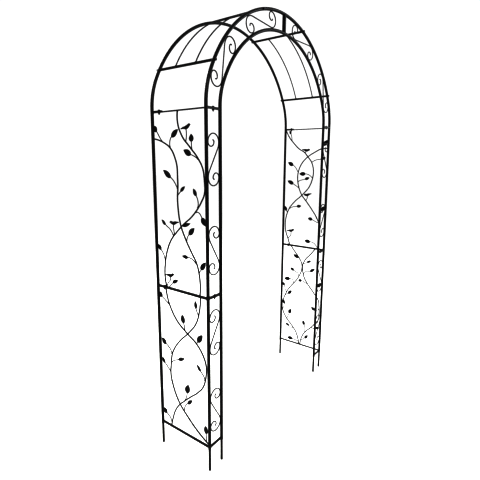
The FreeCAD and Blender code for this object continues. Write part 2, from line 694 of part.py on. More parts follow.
def birdEdges(tail, beak):
    """Side view of a perching bird, back uppermost."""
    forward = beak - tail
    middle = (beak + tail) / 2
    up = forward.cross(Vector(1, 0, 0)).normalize()
    if up.z < 0:
        up = up * -1
    above, below = [[middle + forward * share + up * rise for share, rise in row]
                    for row in (birdAbove, birdBelow)]
    return smoothPath(above) + smoothPath(below) + [Part.LineSegment(below[-1], above[0]).toShape()]


def endTools(tag, side, level):
    """Posts and rail levels that trim whatever reaches them."""
    tools = postTools(side, tag, ["back", "outer"])
    for number, low in enumerate(railLevels[level]):
        box = doc.addObject("Part::Box", "%s_trim_%d" % (tag, number))
        box.setExpression("Length", "4 * sizes.railWidth")
        box.setExpression("Width", "sizes.pierDepth")
        box.setExpression("Height", "2 * sizes.railThickness")
        box.Placement.Base = Vector(sides[side] * outerX - 2 * size("railWidth"), frontY,
                                    low - (railHigh if number == 0 else 0))
        tools.append(box)
    return tools


def rooted(point, paths):
    """The spot on the nearest stem's axis, or the point itself where it springs from a rail."""
    near = [Part.Vertex(point).distToShape(path) for path in paths]
    gap, spots, where = min(near, key=lambda found: found[0])
    found = spots[0][1]
    reach = size("vineDiameter") * 2
    return found if gap < reach else Vector(found.x, point.y, point.z)


def makePanels():
    stemShifts = (-size("vineDiameter") / 2, size("vineDiameter") / 2)
    for (side, level), panel in panels.items():
        tag = "%s_%s" % (side, level)

        def place(spots):
            """Points of a drawing on the panel, the first one rooted on its stem."""
            points = [panelPoint(side, level, spot) for spot in spots]
            root = rooted(points[0], paths)
            return [root] + [Vector(root.x, point.y, point.z) for point in points[1:]]

        stems = []
        for number, (spots, shift) in enumerate(zip(panel["stems"], stemShifts)):
            route = [panelPoint(side, level, spot, shift) for spot in spots]
            stems.append(addSweep("%s_stem_%d" % (tag, number), smoothPath(route), "sizes.vineDiameter"))
        paths = [stem.Spine[0].Shape for stem in stems]
        trim = endTools(tag, side, level)
        stems = [cutFrom("%s_stem_%d" % (tag, n), stem, trim) for n, stem in enumerate(stems)]
        keep(join(tag + "_vines", stems), tag + "_vines")
        stalks, leaves, birds = [], [], []
        for spots, base, tip, width in panel["leaves"]:
            *route, start, end = place(spots + [base, tip])
            leaves.append(addPlate("%s_leaf_%d" % (tag, len(leaves)), leafEdges(start, end, width)))
            if route:
                route.append(start + (end - start).normalize() * leafJoint)
                stalks.append(addSweep("%s_stalk_%d" % (tag, len(leaves)), smoothPath(route),
                                       "sizes.stalkDiameter"))
        for spots, tail, beak in panel.get("birds", []):
            *route, back, front = place(spots + [tail, beak])
            birds.append(addPlate("%s_bird_%d" % (tag, len(birds)), birdEdges(back, front)))
            perch = (back + front) / 2
            route.append(perch - (perch - route[-1]).normalize() * legShort)
            stalks.append(addSweep("%s_leg_%d" % (tag, len(birds)), smoothPath(route),
                                   "sizes.stalkDiameter"))
        plates = {"leaves": leaves, "birds": birds}
        tools = trim + stems
        for kind, made in plates.items():
            if made:
                name = "%s_%s" % (tag, kind)
                tools.append(keep(cutFrom(name, join(name + "_set", made), trim + stems), name))
        stalkSet = join(tag + "_stalk_set", stalks)
        keep(cutFrom(tag + "_stalks", stalkSet, tools), tag + "_leaf_stalks")


makePosts()
makeRails()
makePanels()
makePierScrolls()
makeRings()
makeArchFeet()
makeArchScrolls()
makeCrownJoint()
makeFasteners()
doc.recompute()

# Every object must have come out sound before anything is written.
for item in doc.Objects:
    if "Invalid" in item.State or "Error" in item.State:
        raise RuntimeError("%s is %s" % (item.Label, item.State))
os.makedirs("parts", exist_ok=True)
for item in handed:
    if item.Shape.isNull() or not item.Shape.isValid() or not item.Shape.Solids:
        raise RuntimeError("%s has no sound shape" % item.Label)
for item in handed:
    item.Shape.exportStep("parts/%s.step" % item.Label)
print(len(handed), "sub-parts written")
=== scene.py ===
import math
import random

import bmesh
import bpy
from mathutils import Matrix, Vector, noise
from mathutils.bvhtree import BVHTree


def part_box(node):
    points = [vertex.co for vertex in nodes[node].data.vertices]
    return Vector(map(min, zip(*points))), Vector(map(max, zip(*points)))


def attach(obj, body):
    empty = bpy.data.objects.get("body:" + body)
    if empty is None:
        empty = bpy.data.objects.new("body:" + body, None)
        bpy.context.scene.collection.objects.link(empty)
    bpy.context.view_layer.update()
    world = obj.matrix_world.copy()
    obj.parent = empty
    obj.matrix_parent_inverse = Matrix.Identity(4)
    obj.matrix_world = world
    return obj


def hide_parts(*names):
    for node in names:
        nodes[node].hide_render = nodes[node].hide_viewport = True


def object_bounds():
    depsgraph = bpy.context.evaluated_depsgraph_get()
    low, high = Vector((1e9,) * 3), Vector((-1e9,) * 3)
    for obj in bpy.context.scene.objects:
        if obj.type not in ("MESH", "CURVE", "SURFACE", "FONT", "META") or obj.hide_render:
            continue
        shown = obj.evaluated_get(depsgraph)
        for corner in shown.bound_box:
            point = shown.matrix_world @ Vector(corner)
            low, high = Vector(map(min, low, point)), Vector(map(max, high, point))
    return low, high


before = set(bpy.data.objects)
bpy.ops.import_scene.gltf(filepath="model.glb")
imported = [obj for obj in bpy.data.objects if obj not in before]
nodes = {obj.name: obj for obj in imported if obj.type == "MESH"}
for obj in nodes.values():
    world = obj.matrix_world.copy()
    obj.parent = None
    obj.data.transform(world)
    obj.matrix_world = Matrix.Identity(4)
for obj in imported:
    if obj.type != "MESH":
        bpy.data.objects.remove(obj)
cadLow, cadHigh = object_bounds()
random.seed(11)
print("frame loaded:", len(nodes), "nodes")


# small helpers for meshes

def newPiece(name, mesh, material=None):
    piece = bpy.data.objects.new(name, mesh)
    bpy.context.scene.collection.objects.link(piece)
    if material:
        mesh.materials.clear()
        mesh.materials.append(material)
    return piece


def finishPiece(piece, replaced=()):
    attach(piece, "root")
    if replaced:
        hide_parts(*replaced)


def shadeSmooth(mesh, angle=40):
    for face in mesh.polygons:
        face.use_smooth = True
    sharp = math.radians(angle)
    bm = bmesh.new()
    bm.from_mesh(mesh)
    for edge in bm.edges:
        edge.smooth = edge.is_manifold and edge.calc_face_angle(0) < sharp
    bm.to_mesh(mesh)
    bm.free()


def islandsOf(nodeName):
    # the separate solids of a CAD node, as lists of points
    bm = bmesh.new()
    bm.from_mesh(nodes[nodeName].data)
    bmesh.ops.remove_doubles(bm, verts=bm.verts, dist=1e-6)
    seen, found = set(), []
    for start in bm.verts:
        if start in seen:
            continue
        seen.add(start)
        stack, points = [start], []
        while stack:
            vert = stack.pop()
            points.append(vert.co.copy())
            for edge in vert.link_edges:
                other = edge.other_vert(vert)
                if other not in seen:
                    seen.add(other)
                    stack.append(other)
        found.append(points)
    bm.free()
    return found


# materials: black powder coat, the same on new and old pieces apart from how worn they are

def link(tree, source, target):
    tree.links.new(source, target)


def addNode(tree, kind, **values):
    node = tree.nodes.new(kind)
    for name, value in values.items():
        setattr(node, name, value)
    return node


def addNoise(tree, coordinates, scale, detail=2.0, roughness=0.5):
    found = addNode(tree, "ShaderNodeTexNoise")
    found.inputs["Scale"].default_value = scale
    found.inputs["Detail"].default_value = detail
    found.inputs["Roughness"].default_value = roughness
    link(tree, coordinates, found.inputs["Vector"])
    return found.outputs["Fac"]


def addRamp(tree, source, stops):
    ramp = addNode(tree, "ShaderNodeValToRGB")
    ramp.color_ramp.elements[0].position = stops[0][0]
    ramp.color_ramp.elements[1].position = stops[-1][0]
    for place, tone in stops[1:-1]:
        ramp.color_ramp.elements.new(place)
    for element, (place, tone) in zip(ramp.color_ramp.elements, stops):
        element.color = (*tone, 1) if isinstance(tone, tuple) else (tone, tone, tone, 1)
    link(tree, source, ramp.inputs["Fac"])
    return ramp.outputs["Color"]


def addMix(tree, factor, first, second):
    mix = addNode(tree, "ShaderNodeMix", data_type="RGBA")
    link(tree, factor, mix.inputs["Factor"])
    link(tree, first, mix.inputs["A"])
    if isinstance(second, tuple):
        mix.inputs["B"].default_value = (*second, 1)
    else:
        link(tree, second, mix.inputs["B"])
    return mix.outputs["Result"]


coat = {
    "deep": (0.0016, 0.0016, 0.0018),     # darkest tone of the paint
    "pale": (0.006, 0.006, 0.0063),       # where it has faded a little
    "dust": (0.028, 0.027, 0.025),         # garden dust on faces that look up
    "scuff": (0.02, 0.0195, 0.019),       # rubbed spots
    "patchScale": 9.0,                    # faded patches, per metre
    "peelScale": 950.0,                   # orange peel of the powder, per metre
    "grainScale": 2600.0,                 # finer grain in it
    "scuffScale": 120.0,
    "roughLow": 0.30,
    "roughHigh": 0.52,
}


def powderCoat(name, dust=0.25, scuff=0.5, gloss=0.0, peel=0.16):
    material = bpy.data.materials.new(name)
    material.use_nodes = True
    tree = material.node_tree
    shader = tree.nodes["Principled BSDF"]
    place = addNode(tree, "ShaderNodeTexCoord").outputs["Object"]
    patches = addNoise(tree, place, coat["patchScale"], 4.0, 0.6)
    peelings = addNoise(tree, place, coat["peelScale"], 1.0)
    grain = addNoise(tree, place, coat["grainScale"], 1.0)
    rubs = addNoise(tree, place, coat["scuffScale"], 5.0, 0.7)
    tone = addRamp(tree, patches, [(0.3, coat["deep"]), (0.72, coat["pale"])])
    rubbed = addRamp(tree, rubs, [(0.68, 0.0), (0.78, scuff)])
    tone = addMix(tree, rubbed, tone, coat["scuff"])
    facing = addNode(tree, "ShaderNodeSeparateXYZ")
    link(tree, addNode(tree, "ShaderNodeNewGeometry").outputs["Normal"], facing.inputs[0])
    lying = addNode(tree, "ShaderNodeMath", operation="MULTIPLY")
    settled = addRamp(tree, facing.outputs["Z"], [(0.35, 0.0), (1.0, dust)])
    link(tree, settled, lying.inputs[0])
    link(tree, addRamp(tree, rubs, [(0.35, 0.2), (0.65, 1.0)]), lying.inputs[1])
    tone = addMix(tree, lying.outputs[0], tone, coat["dust"])
    link(tree, tone, shader.inputs["Base Color"])
    sheen = addNode(tree, "ShaderNodeMapRange")
    link(tree, patches, sheen.inputs["Value"])
    sheen.inputs["From Min"].default_value = 0.25
    sheen.inputs["From Max"].default_value = 0.75
    sheen.inputs["To Min"].default_value = coat["roughLow"] - gloss
    sheen.inputs["To Max"].default_value = coat["roughHigh"] - gloss
    link(tree, sheen.outputs["Result"], shader.inputs["Roughness"])
    height = addNode(tree, "ShaderNodeMath", operation="ADD")
    link(tree, peelings, height.inputs[0])
    link(tree, grain, height.inputs[1])
    bump = addNode(tree, "ShaderNodeBump")
    bump.inputs["Strength"].default_value = peel
    bump.inputs["Distance"].default_value = 0.0004
    link(tree, height.outputs[0], bump.inputs["Height"])
    link(tree, bump.outputs["Normal"], shader.inputs["Normal"])
    shader.inputs["Metallic"].default_value = 0.0
    shader.inputs["Specular IOR Level"].default_value = 0.28
    shader.inputs["Coat Weight"].default_value = 0.08
    shader.inputs["Coat Roughness"].default_value = 0.22
    return material


def bareSteel(name):
    material = bpy.data.materials.new(name)
    material.use_nodes = True
    tree = material.node_tree
    shader = tree.nodes["Principled BSDF"]
    place = addNode(tree, "ShaderNodeTexCoord").outputs["Object"]
    stretched = addNode(tree, "ShaderNodeMapping")
    stretched.inputs["Scale"].default_value = (900, 900, 40)
    link(tree, place, stretched.inputs["Vector"])
    drawn = addNoise(tree, stretched.outputs["Vector"], 1.0, 3.0)
    link(tree, addRamp(tree, drawn, [(0.3, (0.30, 0.30, 0.31)), (0.7, (0.46, 0.46, 0.47))]),
         shader.inputs["Base Color"])
    link(tree, addRamp(tree, drawn, [(0.3, 0.25), (0.7, 0.45)]), shader.inputs["Roughness"])
    bump = addNode(tree, "ShaderNodeBump")
    bump.inputs["Strength"].default_value = 0.2
    bump.inputs["Distance"].default_value = 0.0001
    link(tree, drawn, bump.inputs["Height"])
    link(tree, bump.outputs["Normal"], shader.inputs["Normal"])
    shader.inputs["Metallic"].default_value = 1.0
    return material


tubeCoat = powderCoat("tubeCoat", dust=0.2, scuff=0.4)
barCoat = powderCoat("flatBarCoat", dust=0.35, scuff=0.6)
rodCoat = powderCoat("rodCoat", dust=0.2, scuff=0.35, gloss=0.04)
leafCoat = powderCoat("leafCoat", dust=0.3, scuff=0.5, gloss=0.06, peel=0.12)
birdCoat = powderCoat("birdCoat", dust=0.3, scuff=0.6, gloss=0.06, peel=0.12)
beadCoat = powderCoat("weldBeadCoat", dust=0.2, scuff=0.5, peel=0.25)
boltCoat = powderCoat("boltCoat", dust=0.3, scuff=0.9, gloss=0.05)
stakeCoat = powderCoat("stakeCoat", dust=0.5, scuff=1.0)
innerSteel = bareSteel("innerSteel")
print("materials made")

coatFor = (("post", tubeCoat), ("ring", tubeCoat), ("rails", barCoat), ("feet", barCoat),
           ("flange", barCoat), ("vines", rodCoat), ("stalks", rodCoat), ("scrolls", rodCoat),
           ("wires", rodCoat), ("cross_bars", tubeCoat), ("leaves", leafCoat), ("birds", birdCoat),
           ("stakes", stakeCoat), ("joint", boltCoat))
for name, node in nodes.items():
    chosen = innerSteel
    if "spigot" not in name:
        chosen = next(made for word, made in coatFor if word in name)
    if not node.data.materials:
        node.data.materials.append(chosen)
    for place in node.material_slots:
        place.material = chosen


# geometry nodes: one tree that sets a shape at points, with the size and turn each point carries

def placingTree(name, material):
    tree = bpy.data.node_groups.new(name, "GeometryNodeTree")
    face = tree.interface
    face.new_socket("Geometry", in_out="INPUT", socket_type="NodeSocketGeometry")
    face.new_socket("Shape", in_out="INPUT", socket_type="NodeSocketObject")
    face.new_socket("Scale", in_out="INPUT", socket_type="NodeSocketFloat").default_value = 1.0
    face.new_socket("Unevenness", in_out="INPUT", socket_type="NodeSocketFloat").default_value = 0.0
    face.new_socket("Seed", in_out="INPUT", socket_type="NodeSocketInt").default_value = 1
    face.new_socket("Geometry", in_out="OUTPUT", socket_type="NodeSocketGeometry")
    given = tree.nodes.new("NodeGroupInput")
    result = tree.nodes.new("NodeGroupOutput")
    shape = tree.nodes.new("GeometryNodeObjectInfo")
    link(tree, given.outputs["Shape"], shape.inputs["Object"])
    turn = addNode(tree, "GeometryNodeInputNamedAttribute", data_type="FLOAT_VECTOR")
    turn.inputs["Name"].default_value = "turn"
    rotation = tree.nodes.new("FunctionNodeEulerToRotation")
    link(tree, turn.outputs["Attribute"], rotation.inputs["Euler"])
    size = addNode(tree, "GeometryNodeInputNamedAttribute", data_type="FLOAT_VECTOR")
    size.inputs["Name"].default_value = "size"
    low = addNode(tree, "ShaderNodeMath", operation="SUBTRACT")
    low.inputs[0].default_value = 1.0
    link(tree, given.outputs["Unevenness"], low.inputs[1])
    high = addNode(tree, "ShaderNodeMath", operation="ADD")
    high.inputs[0].default_value = 1.0
    link(tree, given.outputs["Unevenness"], high.inputs[1])
    vary = addNode(tree, "FunctionNodeRandomValue", data_type="FLOAT")
    link(tree, low.outputs[0], vary.inputs[2])
    link(tree, high.outputs[0], vary.inputs[3])
    link(tree, given.outputs["Seed"], vary.inputs["Seed"])
    overall = addNode(tree, "ShaderNodeMath", operation="MULTIPLY")
    link(tree, vary.outputs[1], overall.inputs[0])
    link(tree, given.outputs["Scale"], overall.inputs[1])
    scaled = addNode(tree, "ShaderNodeVectorMath", operation="SCALE")
    link(tree, size.outputs["Attribute"], scaled.inputs[0])
    link(tree, overall.outputs[0], scaled.inputs["Scale"])
    copies = tree.nodes.new("GeometryNodeInstanceOnPoints")
    link(tree, given.outputs["Geometry"], copies.inputs["Points"])
    link(tree, shape.outputs["Geometry"], copies.inputs["Instance"])
    link(tree, rotation.outputs["Rotation"], copies.inputs["Rotation"])
    link(tree, scaled.outputs["Vector"], copies.inputs["Scale"])
    real = tree.nodes.new("GeometryNodeRealizeInstances")
    link(tree, copies.outputs["Instances"], real.inputs["Geometry"])
    painted = tree.nodes.new("GeometryNodeSetMaterial")
    painted.inputs["Material"].default_value = material
    link(tree, real.outputs["Geometry"], painted.inputs["Geometry"])
    link(tree, painted.outputs["Geometry"], result.inputs["Geometry"])
    return tree


def placeCopies(name, shape, places, material, settings):
    # places: (point, rotation matrix, size); gives one plain mesh with a copy at each
    mesh = bpy.data.meshes.new(name + "Points")
    mesh.from_pydata([point for point, turn, size in places], [], [])
    turns = mesh.attributes.new("turn", "FLOAT_VECTOR", "POINT")
    sizes = mesh.attributes.new("size", "FLOAT_VECTOR", "POINT")
    for number, (point, turn, size) in enumerate(places):
        turns.data[number].vector = turn.to_euler()
        sizes.data[number].vector = size
    holder = newPiece(name + "Points", mesh)
    tree = placingTree(name + "Tree", material)
    modifier = holder.modifiers.new("copies", "NODES")
    modifier.node_group = tree
    wanted = {"Shape": shape, "Scale": settings.get("scale", 1.0),
              "Unevenness": settings.get("unevenness", 0.0), "Seed": settings.get("seed", 1)}
    for socket in tree.interface.items_tree:
        if socket.in_out == "INPUT" and socket.name in wanted:
            modifier[socket.identifier] = wanted[socket.name]
    bpy.context.view_layer.update()
    depsgraph = bpy.context.evaluated_depsgraph_get()
    made = bpy.data.meshes.new_from_object(holder.evaluated_get(depsgraph))
    made.name = name
    for attribute in ("turn", "size"):
        if attribute in made.attributes:
            made.attributes.remove(made.attributes[attribute])
    holder.modifiers.remove(modifier)
    bpy.data.objects.remove(holder)
    piece = bpy.data.objects.new(name, made)
    bpy.context.scene.collection.objects.link(piece)
    return piece


def frameOf(forward, side):
    # rotation whose X runs forward and whose Z is nearest to side
    x = forward.normalized()
    z = (side - x * side.dot(x)).normalized()
    return Matrix((x, z.cross(x), z)).transposed()


# leaves: cupped pointed ovals with a midrib and side veins, on the CAD plates' places

leaf = {
    "widest": 0.42,        # share of the length where the leaf is widest
    "cup": 0.10,           # hollow across, as a share of the width
    "bow": 0.035,          # sweep of the tip, as a share of the length
    "thickness": 0.0014,
    "ribBase": 0.0024,     # midrib radius at the stalk
    "ribTip": 0.0006,
    "veins": 6,            # side veins each side
    "veinHeight": 0.0007,
    "along": 36,           # divisions of the blade
    "across": 14,
    "usualLength": 0.055,
    "usualWidth": 0.025,
}


def leafHalfWidth(share):
    # two arcs that meet at the widest place and come to a point at both ends
    if share < leaf["widest"]:
        return math.sqrt(max(0.0, 1 - (1 - share / leaf["widest"]) ** 2)) ** 1.15
    return 1 - ((share - leaf["widest"]) / (1 - leaf["widest"])) ** 1.9


def leafHeight(share, reach):
    # how far the blade stands off its flat plane, for reach -1..1 across it
    width = leafHalfWidth(share)
    cup = leaf["cup"] * leaf["usualWidth"] * (reach * width) ** 2
    bow = leaf["bow"] * leaf["usualLength"] * math.sin(math.pi * share)
    phase = (share - abs(reach) * width * 0.22) * leaf["veins"] / 0.86
    ridge = max(0.0, math.cos(2 * math.pi * phase)) ** 3 * min(1.0, abs(reach) * 5) * (1 - abs(reach)) ** 0.5
    return cup - bow + ridge * leaf["veinHeight"]


def makeLeafShape():
    bm = bmesh.new()
    rows = []
    for i in range(leaf["along"] + 1):
        share = i / leaf["along"]
        if i in (0, leaf["along"]):
            rows.append([bm.verts.new((share * leaf["usualLength"], 0, leafHeight(share, 0)))])
            continue
        row = []
        for j in range(leaf["across"] + 1):
            reach = 2 * j / leaf["across"] - 1
            side = reach * leafHalfWidth(share) * leaf["usualWidth"] / 2
            row.append(bm.verts.new((share * leaf["usualLength"], side, leafHeight(share, reach))))
        rows.append(row)
    for before, after in zip(rows, rows[1:]):
        for j in range(leaf["across"]):
            corners = []
            for row, places in ((before, (j, j + 1)), (after, (j + 1, j))):
                for place in places:
                    vert = row[place] if len(row) > 1 else row[0]
                    if vert not in corners:
                        corners.append(vert)
            bm.faces.new(corners)
    bmesh.ops.recalc_face_normals(bm, faces=bm.faces)
    mesh = bpy.data.meshes.new("leafBlade")
    bm.to_mesh(mesh)
    bm.free()
    blade = newPiece("leafBlade", mesh)
    wall = blade.modifiers.new("wall", "SOLIDIFY")
    wall.thickness = leaf["thickness"]
    wall.offset = 0
    wall.use_even_offset = False
    bpy.context.view_layer.update()
    solid = bpy.data.meshes.new_from_object(blade.evaluated_get(bpy.context.evaluated_depsgraph_get()))
    bpy.data.objects.remove(blade)
    # the midrib runs on both faces, thick at the stalk
    bm = bmesh.new()
    bm.from_mesh(solid)
    rings, sides = 16, 8
    previous = None
    for i in range(rings + 1):
        share = i / rings
        radius = leaf["ribBase"] + (leaf["ribTip"] - leaf["ribBase"]) * share ** 0.7
        if i == 0:
            radius *= 0.7
        centre = Vector((share * leaf["usualLength"] * 0.97, 0, leafHeight(share, 0)))
        ring = [bm.verts.new(centre + Vector((0, math.cos(a), math.sin(a))) * radius)
                for a in (2 * math.pi * k / sides for k in range(sides))]
        if previous:
            for k in range(sides):
                bm.faces.new((previous[k], previous[(k + 1) % sides], ring[(k + 1) % sides], ring[k]))
        else:
            bm.faces.new(list(reversed(ring)))
        previous = ring
    bm.faces.new(previous)
    bmesh.ops.recalc_face_normals(bm, faces=bm.faces)
    bm.to_mesh(solid)
    bm.free()
    shadeSmooth(solid, 50)
    return newPiece("leafShape", solid)


def farthestPair(points):
    # the two ends of a long flat outline
    start = points[0]
    for turn in range(3):
        first = max(points, key=lambda p: (p - start).length_squared)
        start, second = first, start
    return first, max(points, key=lambda p: (p - first).length_squared)


leafShape = makeLeafShape()
panelTags = [side + "_" + level for side in ("left", "right") for level in ("lower", "upper")]
sideways = random.Random(5)
leafCount = 0
for tag in panelTags:
    stalkPoints = [p for points in islandsOf(tag + "_leaf_stalks") for p in points]
    stemPoints = [p for points in islandsOf(tag + "_vines") for p in points]
    places = []
    for points in islandsOf(tag + "_leaves"):
        ends = farthestPair(points)
        middle = sum(points, Vector()) / len(points)
        for cloud, near in ((stalkPoints, 0.009), (stemPoints, 1.0)):
            gaps = [min((p - end).length for p in cloud) for end in ends]
            if min(gaps) < near:
                break
        base, tip = ends if gaps[0] < gaps[1] else ends[::-1]
        base = Vector((middle.x, base.y, base.z))
        tip = Vector((middle.x, tip.y, tip.z))
        forward = (tip - base).normalized()
        across = forward.cross(Vector((1, 0, 0)))
        width = max((p - base).dot(across) for p in points) - min((p - base).dot(across) for p in points)
        outward = 1 if middle.x > 0 else -1
        face = Vector((outward * (1 if sideways.random() < 0.7 else -1), sideways.uniform(-0.12, 0.12),
                       sideways.uniform(-0.12, 0.12)))
        size = Vector(((tip - base).length / leaf["usualLength"], width / leaf["usualWidth"], 1))
        places.append((base, frameOf(forward, face), size))
    leafCount += len(places)
    piece = placeCopies(tag + "_leafBlades", leafShape, places, leafCoat, {"seed": 3})
    finishPiece(piece, [tag + "_leaves"])
bpy.data.objects.remove(leafShape)
print("leaves made:", leafCount)


# birds: small cast birds with folded wings, perched where the CAD silhouettes are

bird = {
    "length": 0.066,
    # share along from the tail, lower edge, upper edge, half thickness, in mm
    "sections": [(0.0, -2.6, 3.4, 0.9), (0.12, -3.0, 4.1, 1.3), (0.24, -4.2, 5.3, 2.8),
                 (0.34, -6.8, 6.4, 4.8), (0.46, -9.4, 7.3, 6.6), (0.56, -9.6, 8.0, 7.0),
                 (0.66, -8.0, 9.4, 6.6), (0.75, -4.8, 12.0, 5.4), (0.82, -1.6, 13.4, 4.8),
                 (0.88, 1.2, 12.4, 4.0), (0.93, 4.0, 9.6, 2.5), (0.965, 5.0, 7.6, 1.2),
                 (1.0, 5.4, 6.0, 0.35)],
    "around": 20,
    "wingFrom": 0.16, "wingTo": 0.68,
    "eye": 0.0011,
}


def sectionAt(share):
    rows = bird["sections"]
    for before, after in zip(rows, rows[1:]):
        if share <= after[0]:
            part = (share - before[0]) / (after[0] - before[0])
            smooth = part * part * (3 - 2 * part)
            return [a + (b - a) * smooth for a, b in zip(before[1:], after[1:])]
    return list(rows[-1][1:])


def makeBirdShape():
    # lies along X from tail to beak, back towards Y, thickness along Z
    bm = bmesh.new()
    along, around = 44, bird["around"]
    previous = None
    for i in range(along + 1):
        share = i / along
        low, high, thick = [value / 1000 for value in sectionAt(share)]
        # wings stand proud of the flanks and end in a point over the tail
        wing = max(0.0, 1 - abs((share - 0.42) / 0.27) ** 2.2)
        ring = []
        for k in range(around):
            angle = 2 * math.pi * k / around
            swell = 1 + 0.22 * wing * max(0.0, math.cos(2 * (angle - math.radians(20)))) ** 2
            y = (low + high) / 2 + math.sin(angle) * (high - low) / 2
            z = math.cos(angle) * thick * swell
            ring.append(bm.verts.new(((share - 0.5) * bird["length"], y, z)))
        if previous:
            for k in range(around):
                bm.faces.new((previous[k], previous[(k + 1) % around], ring[(k + 1) % around], ring[k]))
        else:
            bm.faces.new(list(reversed(ring)))
        previous = ring
    bm.faces.new(previous)
    # folded wings: thin pointed shells laid on each flank
    for side in (-1, 1):
        rows = []
        for i in range(15):
            share = i / 14
            place = bird["wingFrom"] + (bird["wingTo"] - bird["wingFrom"]) * share
            low, high, thick = [value / 1000 for value in sectionAt(place)]
            half = 0.0042 * math.sin(math.pi * min(1.0, 0.06 + share * 0.86)) ** 0.7
            middle = 0.0028 + 0.0022 * share
            row = []
            for j in range(7):
                reach = 2 * j / 6 - 1
                y = middle + reach * half
                bulge = max(0.05, 1 - ((y - (low + high) / 2) / ((high - low) / 2)) ** 2) ** 0.5
                feather = 0.00022 * math.sin(reach * 9 + share * 5)
                z = side * (thick * bulge * 1.12 + 0.0007 * (1 - reach * reach) + feather)
                row.append(bm.verts.new(((place - 0.5) * bird["length"], y, z)))
            rows.append(row)
        inner = [[bm.verts.new(v.co - Vector((0, 0, side * 0.0022))) for v in row] for row in rows]
        for a in range(14):
            for j in range(6):
                bm.faces.new((rows[a][j], rows[a][j + 1], rows[a + 1][j + 1], rows[a + 1][j]))
                bm.faces.new((inner[a][j], inner[a + 1][j], inner[a + 1][j + 1], inner[a][j + 1]))
        for a in range(14):
            for j in (0, 6):
                bm.faces.new((rows[a][j], rows[a + 1][j], inner[a + 1][j], inner[a][j]))
        for a in (0, 14):
            for j in range(6):
                bm.faces.new((rows[a][j], rows[a][j + 1], inner[a][j + 1], inner[a][j]))
    low, high, thick = [value / 1000 for value in sectionAt(0.86)]
    for side in (-1, 1):
        place = Matrix.Translation((0.36 * bird["length"], 0.0082, side * thick * 0.93))
        bmesh.ops.create_uvsphere(bm, u_segments=10, v_segments=6, radius=bird["eye"], matrix=place)
    bmesh.ops.recalc_face_normals(bm, faces=bm.faces)
    mesh = bpy.data.meshes.new("birdShape")
    bm.to_mesh(mesh)
    bm.free()
    shadeSmooth(mesh, 45)
    return newPiece("birdShape", mesh)


birdShape = makeBirdShape()
for side in ("left", "right"):
    places = []
    for points in islandsOf(side + "_upper_birds"):
        ends = farthestPair(points)
        # the head end is the taller one
        tallness = []
        for end in ends:
            heights = [p.z for p in points if (p - end).length < 0.02]
            tallness.append(max(heights) - min(heights))
        tail, beak = ends if tallness[0] < tallness[1] else ends[::-1]
        forward = Vector((0, beak.y - tail.y, beak.z - tail.z)).normalized()
        flank = forward.cross(Vector((0, 0, 1))).normalized()
        turn = frameOf(forward, flank)
        up = turn @ Vector((0, 1, 0))
        middle = (tail + beak) / 2
        middle.x = sum(p.x for p in points) / len(points)
        # set so that the belly lies on the lower edge of the CAD outline
        belly = min((p - middle).dot(up) for p in points)
        lowest = min(row[1] for row in bird["sections"]) / 1000
        places.append((middle + up * (belly - lowest), turn, Vector((1, 1, 1))))
    piece = placeCopies(side + "_perchedBirds", birdShape, places, birdCoat, {"seed": 4})
    finishPiece(piece, [side + "_upper_birds"])
bpy.data.objects.remove(birdShape)
print("birds made")


# bolts and nuts: hexagons with chamfered corners, rolled threads

bolt = {
    "flats": 0.010, "head": 0.004, "nut": 0.005, "shank": 0.0030, "length": 0.020,
    "threadLength": 0.0105, "pitch": 0.001, "threadDepth": 0.00045, "chamfer": 0.0006,
    "roundShare": 0.98,    # the chamfer's circle against the width across flats
    "endDepth": 0.001,     # slice of a bolt's end that tells its head from its tip
}


def hexShape(bm, low, high, chamferLow, chamferHigh):
    # hexagonal prism whose corners are rounded off towards each chamfered face
    corner = bolt["flats"] / math.sqrt(3)
    chamferRadius = bolt["flats"] / 2 * bolt["roundShare"]
    levels = []
    if chamferLow:
        levels += [(low, True), (low + bolt["chamfer"], False)]
    else:
        levels.append((low, False))
    if chamferHigh:
        levels += [(high - bolt["chamfer"], False), (high, True)]
    else:
        levels.append((high, False))
    previous, steps = None, 36
    for height, chamfered in levels:
        ring = []
        for k in range(steps):
            angle = 2 * math.pi * k / steps
            nearest = (angle + math.pi / 6) % (math.pi / 3) - math.pi / 6
            flat = bolt["flats"] / 2 / math.cos(nearest)
            radius = min(flat, chamferRadius if chamfered else corner)
            ring.append(bm.verts.new((radius * math.cos(angle), radius * math.sin(angle), height)))
        if previous:
            for k in range(steps):
                bm.faces.new((previous[k], previous[(k + 1) % steps], ring[(k + 1) % steps], ring[k]))
        else:
            bm.faces.new(list(reversed(ring)))
        previous = ring
    bm.faces.new(previous)


